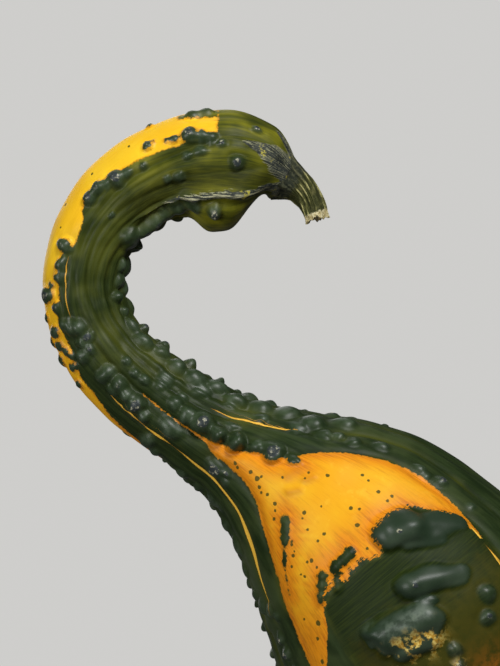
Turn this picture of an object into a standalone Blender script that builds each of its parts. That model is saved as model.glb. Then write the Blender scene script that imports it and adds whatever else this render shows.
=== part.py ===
"""A warted swan-neck gourd: a round bulb, a neck that crooks over into a hooked head, and a ridged stem.

The fruit is one solid around a curved axis. Places on its skin are given by the length along that axis from
the stem seat, in millimetres, and the angle around it, in degrees: 0 is the outside of the crook, 90 faces -Y,
180 is the inside of the crook. It stands on a flat spot under its bulb, and the spot's middle is the origin.
"""

import math

import bmesh
import bpy
import numpy as np

MM = 0.001

# Lengths of the fruit's stretches, measured along its axis.
HEAD_LENGTH = 33.5
CROOK_LENGTH = 94.0
NECK_LENGTH = 33.0
SHOULDER_LENGTH = 92.0
BLOSSOM_LENGTH = 50.0

# Radii of the flesh, under the ribs and warts.
SEAT_RADIUS = 7.2
HEAD_RADIUS = 17.6
CROOK_RADIUS = 14.2
NECK_RADIUS = 15.8
BULB_RADIUS = 49.2

# Which way the axis points at the end of each stretch, in degrees from +X towards +Z.
SEAT_HEADING = 154.0
HEAD_HEADING = 191.0
MID_CROOK_HEADING = 242.5
CROOK_HEADING = 318.0
NECK_HEADING = 329.0
SHOULDER_HEADING = 305.5
BLOSSOM_HEADING = 300.0

RIB_COUNT = 10
RIB_HEIGHT = 0.7
RIB_TWIST = 18.0  # degrees that the ribs turn between the head and the bulb
WART_HEIGHT = 1.9
WART_RADIUS = 2.9
SPOT_DEPTH = 2.6  # how much of the round underside the flat spot takes off

STEM_LENGTH = 17.5
STEM_FOOT_INSET = 0.3  # how far the stem's foot stays inside the edge of its seat
STEM_WAIST_RADIUS = 4.4
STEM_TIP_RADIUS = 3.6
STEM_BEND = 50.0
STEM_RIDGE_COUNT = 5
STEM_RIDGE_HEIGHT = 0.45
STEM_GAP = 0.3  # between the stem's foot and its seat

FRUIT_ROWS = 104
FRUIT_COLUMNS = 40
STEM_ROWS = 16
STEM_COLUMNS = 30

CROOK_START = HEAD_LENGTH
CROOK_MIDDLE = CROOK_START + 0.42 * CROOK_LENGTH
NECK_START = CROOK_START + CROOK_LENGTH
SHOULDER_START = NECK_START + NECK_LENGTH
BULB_MIDDLE = SHOULDER_START + SHOULDER_LENGTH
FRUIT_END = BULB_MIDDLE + BLOSSOM_LENGTH

HEADINGS = (
    (0.0, SEAT_HEADING),
    (CROOK_START, HEAD_HEADING),
    (CROOK_MIDDLE, MID_CROOK_HEADING),
    (NECK_START, CROOK_HEADING),
    (SHOULDER_START, NECK_HEADING),
    (BULB_MIDDLE, SHOULDER_HEADING),
    (FRUIT_END, BLOSSOM_HEADING),
)

# The shoulder widens from the neck to the bulb: shares of its length, and of the way between the two radii.
SHOULDER_SWELL = ((0.06, 0.07), (0.24, 0.27), (0.44, 0.56), (0.64, 0.79), (1.0, 1.0))
GIRTHS = (
    (0.0, SEAT_RADIUS),
    (0.27 * HEAD_LENGTH, 0.84 * HEAD_RADIUS),
    (0.64 * HEAD_LENGTH, HEAD_RADIUS),
    (CROOK_START + 0.15 * CROOK_LENGTH, 0.5 * (HEAD_RADIUS + CROOK_RADIUS)),
    (CROOK_START + 0.52 * CROOK_LENGTH, CROOK_RADIUS),
    (NECK_START + 0.60 * NECK_LENGTH, NECK_RADIUS),
    *(
        (SHOULDER_START + share * SHOULDER_LENGTH, NECK_RADIUS + swell * (BULB_RADIUS - NECK_RADIUS))
        for share, swell in SHOULDER_SWELL
    ),
    (BULB_MIDDLE + 1.0, BULB_RADIUS),
)

# Single swellings: place along, angle around, height, and half length and half width.
SWELLINGS = {
    "throat": (0.62 * HEAD_LENGTH, 152.0, 6.6, 11.0, 10.0),
    "long_blister": (BULB_MIDDLE - 20.0, 112.0, 3.4, 6.5, 8.0),
    "middle_blister": (BULB_MIDDLE - 5.0, 105.0, 3.2, 5.0, 8.5),
    "broad_blister": (BULB_MIDDLE + 6.0, 82.0, 4.0, 7.5, 11.0),
    "belly": (BULB_MIDDLE + 22.0, 0.0, 9.5, 20.0, 34.0),
}

# Rows of warts along the ribs: angle around, first and last place along, and how many.
WART_ROWS = (
    (62.0, 31.0, 64.0, 6),
    (28.0, 32.0, 120.0, 9),
    (74.0, 84.0, 150.0, 11),
    (140.0, 56.0, 180.0, 17),
    (100.0, 152.0, 188.0, 6),
    (60.0, 164.0, 232.0, 7),
    (148.0, 190.0, 236.0, 6),
    (205.0, 48.0, 172.0, 14),
    (250.0, 36.0, 150.0, 12),
    (292.0, 60.0, 222.0, 15),
    (330.0, 40.0, 240.0, 16),
    (225.0, 190.0, 262.0, 7),
)

COLOURS = {"fruit": (0.045, 0.075, 0.035), "stem": (0.23, 0.22, 0.11)}
ROUGHNESS = {"fruit": 0.38, "stem": 0.75}


def through(stations, at):
    """A smooth curve through the stations that never overshoots them."""
    place, value = np.array(stations).T
    rise = np.diff(value) / np.diff(place)
    slope = np.concatenate((rise[:1], rise))
    before, after = rise[:-1], rise[1:]
    same_way = before * after > 0.0
    slope[1:-1] = np.where(same_way, 2.0 * before * after / np.where(same_way, before + after, 1.0), 0.0)
    at = np.clip(at, place[0], place[-1])
    left = np.clip(np.searchsorted(place, at, side="right") - 1, 0, len(place) - 2)
    span = place[left + 1] - place[left]
    t = (at - place[left]) / span
    ease = t * t * (3.0 - 2.0 * t)
    start_pull = t * (1.0 - t) ** 2 * span * slope[left]
    end_pull = t * t * (1.0 - t) * span * slope[left + 1]
    return value[left] * (1.0 - ease) + value[left + 1] * ease + start_pull - end_pull


def axis_at(headings, along):
    """Centre of the axis in XZ and its heading, by adding up short steps along the headings."""
    steps = np.linspace(headings[0][0], headings[-1][0], 1201)
    angle = np.radians(through(headings, steps))
    stride = steps[1] - steps[0]
    middle = 0.5 * (angle[1:] + angle[:-1])
    x = np.concatenate(((0.0,), np.cumsum(np.cos(middle) * stride)))
    z = np.concatenate(((0.0,), np.cumsum(np.sin(middle) * stride)))
    return np.interp(along, steps, x), np.interp(along, steps, z), np.interp(along, steps, angle)


def girth(along):
    """Radius of the flesh: the stations as far as the bulb's middle, then a round blossom end."""
    beyond = np.clip((along - BULB_MIDDLE) / BLOSSOM_LENGTH, 0.0, 1.0)
    return through(GIRTHS, along) * np.sqrt(1.0 - beyond**2)


def bump(along, around, radius, place, angle, height, half_length, half_width):
    """A soft round rise on the skin. Its sizes are lengths on the skin, so it keeps its shape on any girth."""
    turn = (around - np.radians(angle) + math.pi) % (2.0 * math.pi) - math.pi
    across = turn * np.maximum(radius, half_width)
    return height * np.exp(-(((along - place) / half_length) ** 2) - (across / half_width) ** 2)


def fruit_radius(along, around):
    radius = girth(along)
    twist = np.radians(RIB_TWIST) * along / BULB_MIDDLE
    fade = np.sin(math.pi * np.clip(along / FRUIT_END, 0.0, 1.0)) ** 0.5
    grown = RIB_HEIGHT * fade * np.cos(RIB_COUNT * (around - twist))
    for place, angle, height, half_length, half_width in SWELLINGS.values():
        grown = grown + bump(along, around, radius, place, angle, height, half_length, half_width)
    for angle, first, last, count in WART_ROWS:
        for place in np.linspace(first, last, count):
            wart = bump(along, around, radius, place, angle, WART_HEIGHT, WART_RADIUS, WART_RADIUS)
            grown = grown + wart
    seat_blend = np.clip(along / (0.3 * HEAD_LENGTH), 0.0, 1.0)
    end_blend = np.clip((FRUIT_END - along) / (0.3 * BLOSSOM_LENGTH), 0.0, 1.0)
    return radius + grown * seat_blend * end_blend


def stem_radius(along, around):
    waist = through(
        (
            (0.0, SEAT_RADIUS - STEM_FOOT_INSET),
            (0.45 * STEM_LENGTH, STEM_WAIST_RADIUS),
            (STEM_LENGTH, STEM_TIP_RADIUS),
        ),
        along,
    )
    return waist - STEM_RIDGE_HEIGHT * (1.0 - np.cos(STEM_RIDGE_COUNT * around)) * 0.5


def rings(rows, columns, places, radius_at, headings):
    """Points of a ring at each place along the axis, one row for each ring."""
    around = np.arange(columns) * 2.0 * math.pi / columns
    along = np.repeat(places, columns).reshape(rows, columns)
    turn = np.tile(around, (rows, 1))
    x, z, angle = axis_at(headings, along)
    radius = radius_at(along, turn)
    outward = radius * np.cos(turn)
    return np.stack((x + outward * np.sin(angle), -radius * np.sin(turn), z - outward * np.cos(angle)), axis=-1)


def closed_body(name, points, first_pole, last_pole):
    """One closed mesh over the rings: a UV sphere whose rows and poles are moved to the given places."""
    rows, columns, _ = points.shape
    shape = bmesh.new()
    bmesh.ops.create_uvsphere(shape, u_segments=columns, v_segments=rows + 1, radius=1.0)
    for vert in shape.verts:
        row = round(math.acos(max(-1.0, min(1.0, vert.co.z))) / math.pi * (rows + 1))
        column = round(math.atan2(vert.co.y, vert.co.x) / (2.0 * math.pi) * columns) % columns
        if row == 0:
            vert.co = first_pole * MM
        elif row == rows + 1:
            vert.co = last_pole * MM
        else:
            vert.co = points[row - 1, column] * MM
    bmesh.ops.triangulate(shape, faces=shape.faces[:])
    mesh = bpy.data.meshes.new(name)
    shape.to_mesh(mesh)
    shape.free()
    mesh.shade_smooth()
    material = bpy.data.materials.new(name)
    material.use_nodes = True
    shader = material.node_tree.nodes["Principled BSDF"]
    shader.inputs["Base Color"].default_value = (*COLOURS[name], 1.0)
    shader.inputs["Roughness"].default_value = ROUGHNESS[name]
    mesh.materials.append(material)
    body = bpy.data.objects.new(name, mesh)
    bpy.context.collection.objects.link(body)
    return body


def fruit_places():
    """The rings stand closer together towards the blossom end, where the skin turns in."""
    closing = FRUIT_ROWS // 6
    body = np.linspace(0.0, BULB_MIDDLE, FRUIT_ROWS - closing + 1)
    turn = np.linspace(0.0, math.pi / 2.0, closing + 1)[1:-1]
    return np.concatenate((body, BULB_MIDDLE + BLOSSOM_LENGTH * np.sin(turn)))


def settle(points, others):
    """Sets the fruit on its flat spot: the underside is cut level and the spot's middle becomes the origin."""
    floor = points[..., 2].min() + SPOT_DEPTH
    spot = points[points[..., 2] < floor]
    middle = np.array((0.5 * (spot[:, 0].min() + spot[:, 0].max()), 0.0, floor))
    settled = points - middle
    settled[..., 2] = np.maximum(settled[..., 2], 0.0)
    return settled, [other - middle for other in others]


def build_gourd():
    places = fruit_places()
    fruit = rings(len(places), FRUIT_COLUMNS, places, fruit_radius, HEADINGS)
    seat = np.zeros(3)
    end_x, end_z, _ = axis_at(HEADINGS, FRUIT_END)
    blossom = np.array((float(end_x), 0.0, float(end_z)))

    seat_angle = math.radians(SEAT_HEADING)
    foot = -STEM_GAP * np.array((math.cos(seat_angle), 0.0, math.sin(seat_angle)))
    stem_headings = (
        (0.0, SEAT_HEADING - 180.0),
        (0.5 * STEM_LENGTH, SEAT_HEADING - 180.0 - 0.6 * STEM_BEND),
        (STEM_LENGTH, SEAT_HEADING - 180.0 - STEM_BEND),
    )
    stem_places = np.linspace(0.0, STEM_LENGTH, STEM_ROWS)
    stem = foot + rings(STEM_ROWS, STEM_COLUMNS, stem_places, stem_radius, stem_headings)
    tip_x, tip_z, _ = axis_at(stem_headings, STEM_LENGTH)
    tip = foot + np.array((float(tip_x), 0.0, float(tip_z)))

    fruit, (seat, blossom, stem, foot, tip) = settle(fruit, (seat, blossom, stem, foot, tip))
    closed_body("fruit", fruit, seat, blossom)
    closed_body("stem", stem, foot, tip)


for old in list(bpy.context.scene.objects):
    bpy.data.objects.remove(old, do_unlink=True)
build_gourd()
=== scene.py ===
import math

import bpy
import numpy as np
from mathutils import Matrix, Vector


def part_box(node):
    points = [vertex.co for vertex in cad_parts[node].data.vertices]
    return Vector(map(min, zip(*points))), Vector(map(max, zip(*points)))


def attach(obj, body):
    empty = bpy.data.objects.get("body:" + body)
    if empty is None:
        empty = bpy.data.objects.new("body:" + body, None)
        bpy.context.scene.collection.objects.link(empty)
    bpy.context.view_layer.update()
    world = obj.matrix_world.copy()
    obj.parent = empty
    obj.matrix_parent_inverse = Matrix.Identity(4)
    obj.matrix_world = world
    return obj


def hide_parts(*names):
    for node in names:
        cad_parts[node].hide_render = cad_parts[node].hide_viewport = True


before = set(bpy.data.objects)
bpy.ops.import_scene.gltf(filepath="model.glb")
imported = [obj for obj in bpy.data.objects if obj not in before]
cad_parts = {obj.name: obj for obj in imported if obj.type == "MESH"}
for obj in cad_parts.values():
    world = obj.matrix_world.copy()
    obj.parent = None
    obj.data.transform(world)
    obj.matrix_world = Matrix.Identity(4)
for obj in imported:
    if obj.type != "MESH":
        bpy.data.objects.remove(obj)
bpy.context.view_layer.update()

MM = 0.001
bpy.ops.object.select_all(action="DESELECT")

# ---------------------------------------------------------------------------------------------------------
# The studio: a camera level with the crook, a wide pale floor that meets an equally pale surround, and four
# large soft lamps: the main one above and to the right, a low one at the left, a weak one on top and one that
# lights the far side.

PALE = (0.62, 0.615, 0.60, 1.0)
SURROUND_LIGHT = 0.05
FLOOR_SIZE = 60.0
FLOOR_TONE = 0.60
FLOOR_BOUNCE = 0.18
NEAR_FLOOR = 0.30
FAR_FLOOR = 0.52
LENS = 280.0
SENSOR = 36.0
VIEW_HEIGHT = 0.222
VIEW_CENTRE = (-0.0468, 0.0, 0.1423)
FURTHEST_SEEN = 100.0
LAMPS = (
    ("soft_key", (0.36, -0.88, 1.08), 0.45, 18.8),
    ("soft_fill", (-0.95, -1.10, 0.22), 0.7, 14.5),
    ("soft_top", (-0.15, 0.55, 1.10), 0.5, 1.2),
    ("soft_back", (-0.60, 1.40, 0.60), 1.1, 7.5),
)


def seen_or_lit(tree, socket, seen, lit):
    """Gives a socket one value where it is looked at, and another for the light that it throws."""
    switch = tree.nodes.new("ShaderNodeMapRange")
    switch.inputs["To Min"].default_value = lit
    switch.inputs["To Max"].default_value = seen
    tree.links.new(tree.nodes.new("ShaderNodeLightPath").outputs["Is Camera Ray"], switch.inputs["Value"])
    tree.links.new(switch.outputs["Result"], socket)


# The surround is pale to look at, but lights the gourd only faintly, so that its dark greens stay deep.
world = bpy.data.worlds.new("pale_surround")
world.use_nodes = True
surround = world.node_tree.nodes["Background"]
surround.inputs["Color"].default_value = PALE
seen_or_lit(world.node_tree, surround.inputs["Strength"], 1.0, SURROUND_LIGHT / PALE[0])
bpy.context.scene.world = world
bpy.context.scene.view_settings.view_transform = "Standard"

# The floor is lit by the lamps near the gourd, and melts into the surround further out.
bpy.ops.mesh.primitive_circle_add(vertices=64, radius=FLOOR_SIZE, fill_type="TRIFAN")
floor = bpy.context.object
floor.name = "floor"
floor_paint = bpy.data.materials.new("pale_floor")
floor_paint.use_nodes = True
floor_tree = floor_paint.node_tree
floor_shader = floor_tree.nodes["Principled BSDF"]
seen_or_lit(floor_tree, floor_shader.inputs["Base Color"], FLOOR_TONE, FLOOR_BOUNCE)
floor_shader.inputs["Roughness"].default_value = 1.0
floor_shader.inputs["Specular IOR Level"].default_value = 0.0
reach = floor_tree.nodes.new("ShaderNodeVectorMath")
reach.operation = "LENGTH"
floor_tree.links.new(floor_tree.nodes.new("ShaderNodeTexCoord").outputs["Object"], reach.inputs[0])
far_out = floor_tree.nodes.new("ShaderNodeMapRange")
far_out.interpolation_type = "SMOOTHSTEP"
far_out.inputs["From Min"].default_value = NEAR_FLOOR
far_out.inputs["From Max"].default_value = FAR_FLOOR
floor_tree.links.new(reach.outputs["Value"], far_out.inputs["Value"])
melt = floor_tree.nodes.new("ShaderNodeEmission")
melt.inputs["Color"].default_value = PALE
seen_or_lit(floor_tree, melt.inputs["Strength"], 1.0, SURROUND_LIGHT / PALE[0])
blend = floor_tree.nodes.new("ShaderNodeMixShader")
floor_tree.links.new(far_out.outputs["Result"], blend.inputs[0])
floor_tree.links.new(floor_shader.outputs[0], blend.inputs[1])
floor_tree.links.new(melt.outputs[0], blend.inputs[2])
floor_tree.links.new(blend.outputs[0], floor_tree.nodes["Material Output"].inputs["Surface"])
floor.data.materials.append(floor_paint)

for lamp_name, place, size, power in LAMPS:
    lamp = bpy.data.lights.new(lamp_name, "AREA")
    lamp.size = size
    lamp.energy = power
    lamp_holder = bpy.data.objects.new(lamp_name, lamp)
    bpy.context.collection.objects.link(lamp_holder)
    lamp_holder.location = place
    aim = np.array(VIEW_CENTRE) - np.array(place)
    lamp_holder.rotation_euler = (
        math.atan2(math.hypot(aim[0], aim[1]), -aim[2]),
        0.0,
        math.atan2(aim[1], aim[0]) - math.pi / 2.0,
    )

camera_data = bpy.data.cameras.new("camera")
camera_data.lens = LENS
camera_data.sensor_width = SENSOR
camera_data.clip_end = FURTHEST_SEEN
camera = bpy.data.objects.new("camera", camera_data)
camera.location = (VIEW_CENTRE[0], -VIEW_HEIGHT * LENS / SENSOR, VIEW_CENTRE[2])
camera.rotation_euler = (math.pi / 2.0, 0.0, 0.0)
bpy.context.collection.objects.link(camera)
bpy.context.scene.camera = camera

# ---------------------------------------------------------------------------------------------------------
# The fruit: one piece that grew round a curved core, thick-skinned, ribbed lengthwise and covered with warts.
# Places on the skin are (along, around): millimetres along the core from the stem, and degrees round it. At 0
# is the outside of the crook, 90 faces -Y, and at 180 is the inside of the crook.

FRUIT_LENGTH = 302.5
BULB_MIDDLE = 252.5
BLOSSOM_LENGTH = FRUIT_LENGTH - BULB_MIDDLE
SEAT_HEADING = 154.0
FOOT_RADIUS = 6.9
FOOT_GAP = 0.3
SPOT_SOFTNESS = 1.2
SPOT_PRESS = 0.02
BLOSSOM_DIMPLE = 1.2

HEADINGS = ((0, 154), (33.5, 191), (73, 242.5), (127.5, 318), (160.5, 329), (252.5, 305.5), (302.5, 300))
GIRTHS = (
    (0, 7.2), (9, 14.8), (21.4, 17.6), (47.6, 15.9), (82.4, 14.2), (147.3, 15.8), (166, 18.1),
    (182.6, 24.8), (201, 34.5), (219.4, 42.2), (252.5, 49.2), (253.5, 49.2),
)

# The columns are a multiple of four, because the ball that becomes the skin starts a quarter turn round.
BODY_RINGS = 343
COLUMNS = 248
NEAR_SIDE_SHARE = 0.35
GRAIN_ROUND = 17.0
LEAST_FLESH = 4.0
FAR_OFF = 30.0
WHOLE_TURN = 2.0 * math.pi


def through(stations, at):
    """A smooth curve through the stations that never overshoots them."""
    place, value = np.array(stations, float).T
    rise = np.diff(value) / np.diff(place)
    slope = np.concatenate((rise[:1], rise))
    before, after = rise[:-1], rise[1:]
    same_way = before * after > 0.0
    slope[1:-1] = np.where(same_way, 2.0 * before * after / np.where(same_way, before + after, 1.0), 0.0)
    at = np.clip(at, place[0], place[-1])
    left = np.clip(np.searchsorted(place, at, side="right") - 1, 0, len(place) - 2)
    span = place[left + 1] - place[left]
    t = (at - place[left]) / span
    eased = t * t * (3.0 - 2.0 * t)
    start_pull = t * (1.0 - t) ** 2 * span * slope[left]
    end_pull = t * t * (1.0 - t) * span * slope[left + 1]
    return value[left] * (1.0 - eased) + value[left + 1] * eased + start_pull - end_pull


def core_at(headings, along):
    """Centre of a curved core in XZ and its heading, by adding up short steps along the headings."""
    steps = np.linspace(headings[0][0], headings[-1][0], 1201)
    angle = np.radians(through(headings, steps))
    stride = steps[1] - steps[0]
    middle = 0.5 * (angle[1:] + angle[:-1])
    x = np.concatenate(((0.0,), np.cumsum(np.cos(middle) * stride)))
    z = np.concatenate(((0.0,), np.cumsum(np.sin(middle) * stride)))
    return np.interp(along, steps, x), np.interp(along, steps, z), np.interp(along, steps, angle)


def lay_on_core(start, headings, along, around, radius):
    """Points of a skin round a curved core that starts at (x, z), and the core's heading at each."""
    core_x, core_z, heading = core_at(headings, along)
    outward = radius * np.cos(around)
    x = start[0] + core_x + outward * np.sin(heading)
    z = start[1] + core_z - outward * np.cos(heading)
    return np.stack((x, -radius * np.sin(around), z), axis=-1), heading


def smooth_step(value, low, high):
    """0 below low, 1 above high, smooth between."""
    t = np.clip((value - low) / (high - low), 0.0, 1.0)
    return t * t * (3.0 - 2.0 * t)


# The grid of the skin: rings wider apart at the blossom end, columns closer together on the near side.
turn_in = np.concatenate((np.linspace(0.0, 0.2, 14)[1:], np.linspace(0.2, math.pi / 2.0, 48)[1:-1]))
body_places = np.linspace(0.0, BULB_MIDDLE, BODY_RINGS)
ring_places = np.concatenate((body_places, BULB_MIDDLE + BLOSSOM_LENGTH * np.sin(turn_in)))
even_turn = np.linspace(0.0, WHOLE_TURN, 2001)
crowded_turn = even_turn + NEAR_SIDE_SHARE * (1.0 - np.cos(even_turn))
column_angles = np.interp(np.arange(COLUMNS) * 2.0 * math.pi / COLUMNS, crowded_turn, even_turn)
RINGS = len(ring_places)
along = np.repeat(ring_places[:, None], COLUMNS, axis=1)
around = np.repeat(column_angles[None, :], RINGS, axis=0)
closing_share = np.clip((along - BULB_MIDDLE) / BLOSSOM_LENGTH, 0.0, 1.0)
flesh = through(GIRTHS, along) * np.sqrt(1.0 - closing_share**2)

# How much longer the skin is than the core under it: more on the outside of the crook, less on the inside.
core_turn = np.gradient(np.radians(through(HEADINGS, ring_places)), ring_places)[:, None]
stretch = np.clip(1.0 + core_turn * flesh * np.cos(around), 0.45, 1.8)


def short_way(turn):
    """The same turn taken the short way round."""
    return (turn + math.pi) % WHOLE_TURN - math.pi


def across(angle):
    """Distance round the skin from an angle, or from a line of angles, in mm."""
    return short_way(around - np.radians(angle)) * np.maximum(flesh, LEAST_FLESH)


def line_fade(stations, ramp):
    """1 along a line of the skin, easing to 0 over the ramp at its two ends."""
    first, last = stations[0][0], stations[-1][0]
    begun = smooth_step(along, first - ramp, first + ramp)
    return begun * (1.0 - smooth_step(along, last - ramp, last + ramp))


def spot_distance(place, angle):
    """Distance over the skin to one point, in mm."""
    return np.hypot((along - place) * stretch, across(angle))


def capsule_distance(first, last):
    """Distance over the skin to the stroke between two points, and how far along the stroke, 0 to 1."""
    size = np.interp(0.5 * (first[0] + last[0]), ring_places, flesh[:, 0])
    run = np.array((last[0] - first[0], math.radians(last[1] - first[1]) * size))
    from_first = np.stack((along - first[0], across(first[1])))
    share = np.clip(np.tensordot(run, from_first, axes=1) / (run @ run), 0.0, 1.0)
    return np.hypot(from_first[0] - share * run[0], from_first[1] - share * run[1]), share


# Furrows between the ribs: (stations, depth, half width). The far side's ribs are regular.
FURROWS = [
    (((22, 66), (45, 79), (65, 80), (85, 80), (105, 84), (135, 84.5), (150, 82), (162, 80)), 0.9, 1.3),
    (
        ((30, 112), (50, 108), (62, 102), (75, 97), (90, 98), (105, 107), (120, 112), (140, 113), (168, 119)),
        0.9, 1.3,
    ),
    (
        (
            (46, 126), (62, 122), (75, 116), (90, 112), (105, 117), (120, 121), (157, 122), (182, 132),
            (200, 141),
        ),
        0.8, 1.2,
    ),
    (((70, 136), (90, 128), (105, 132), (125, 135), (150, 136), (170, 142)), 0.8, 1.2),
    (((30, 84), (48, 92), (62, 90), (74, 87), (84, 86)), 0.45, 0.9),
    (((52, 116), (64, 111), (76, 106), (90, 105), (104, 111), (118, 116)), 0.4, 0.8),
    (((78, 67), (90, 68.5), (101, 68), (112, 63)), 0.5, 0.9),
    (((126, 53), (147, 51.5), (163, 47.5), (180, 44.5), (192, 38.5), (204, 31.5), (218, 28)), 0.45, 1.2),
    (((163, 73), (175, 71), (185, 64), (195, 53), (207, 46), (225, 39), (262, 38)), 0.6, 1.4),
    (((165, 88), (175, 98), (190, 118), (200, 130.5), (210, 137), (232, 136), (265, 132)), 0.7, 1.4),
    (((192, 143), (205, 153), (215, 155), (240, 151), (268, 150)), 1.1, 1.5),
    (((40, 160), (80, 156), (120, 158), (170, 168), (230, 170)), 0.7, 1.3),
    (((196, 10), (225, 14), (255, 16)), 0.7, 1.6),
    (((6, 22), (16, 30), (30, 34)), 0.35, 1.2),
    (((6, 50), (14, 56), (24, 60)), 0.45, 1.2),
    (((6, 84), (16, 100), (28, 104), (44, 100)), 0.35, 1.1),
]
FAR_COURSE = ((8, -8), (60, -4), (120, 3), (190, 0), (285, 0))
for angle in range(188, 360, 17):
    FURROWS.append((tuple((place, angle + turn) for place, turn in FAR_COURSE), 0.8, 1.4))
FURROW_ENDS = 7.0

grown = 0.35 * np.sin(along / 17.0 + 2.0 * around) + 0.3 * np.sin(along / 9.5 - 3.0 * around + 1.3)
grown = grown + 0.18 * np.sin(along / 3.9 + 5.0 * around + 0.7) * np.sin(along / 5.3 - 4.0 * around)
furrow_mark = np.zeros_like(along)
for stations, depth, half_width in FURROWS:
    off = np.abs(across(through(stations, along)))
    fade = line_fade(stations, FURROW_ENDS)
    groove = np.exp(-((off / half_width) ** 1.6)) * fade
    wide_dip = fade * np.exp(-((off / (2.4 * half_width)) ** 2))
    grown = grown - depth * (0.85 * groove + 0.65 * wide_dip)
    furrow_mark = np.maximum(furrow_mark, groove)

# Lobes: the throat under the head, the belly over the flat spot, and the slack skin under the throat.
for place, angle, height, half_length, half_width, fullness in (
    (21.8, 163.0, 5.5, 13.4, 15.0, 5.0),
    (6.0, 190.0, -6.3, 5.5, 13.0, 2.0),
    (274.5, 0.0, 9.5, 20.0, 34.0, 2.0),
):
    off_along = np.abs((along - place) / half_length)
    off_across = np.abs(across(angle) / half_width)
    grown = grown + height * np.exp(-(off_along**fullness) - off_across**fullness)

# Low lumps crowd along the crests of the ribs, from the crook to the shoulder: (around, first, last).
CRESTS = (
    (60, 60, 104), (74, 48, 100), (88, 36, 136), (107, 44, 150), (125, 70, 150), (141, 64, 82),
    (30, 150, 200), (12, 155, 230), (196, 40, 200), (222, 30, 220), (250, 30, 210), (275, 40, 200),
    (300, 30, 220), (330, 50, 220),
)
CALM_CRESTS = (88, 107, 125, 141)
CALM_SHARE = 0.45
random = np.random.default_rng(5)
for crest, first, last in CRESTS:
    place = first
    while place < last:
        lump_length, lump_width = random.uniform(2.4, 4.2), random.uniform(2.0, 3.2)
        height = random.uniform(0.35, 0.95) * (CALM_SHARE if crest in CALM_CRESTS else 1.0)
        off_along = (along - place) / lump_length
        off_across = across(crest + random.uniform(-4.0, 4.0)) / lump_width
        grown = grown + height * np.exp(-((off_along**2 + off_across**2) ** 1.4))
        place += random.uniform(1.3, 2.6) * lump_length

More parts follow.
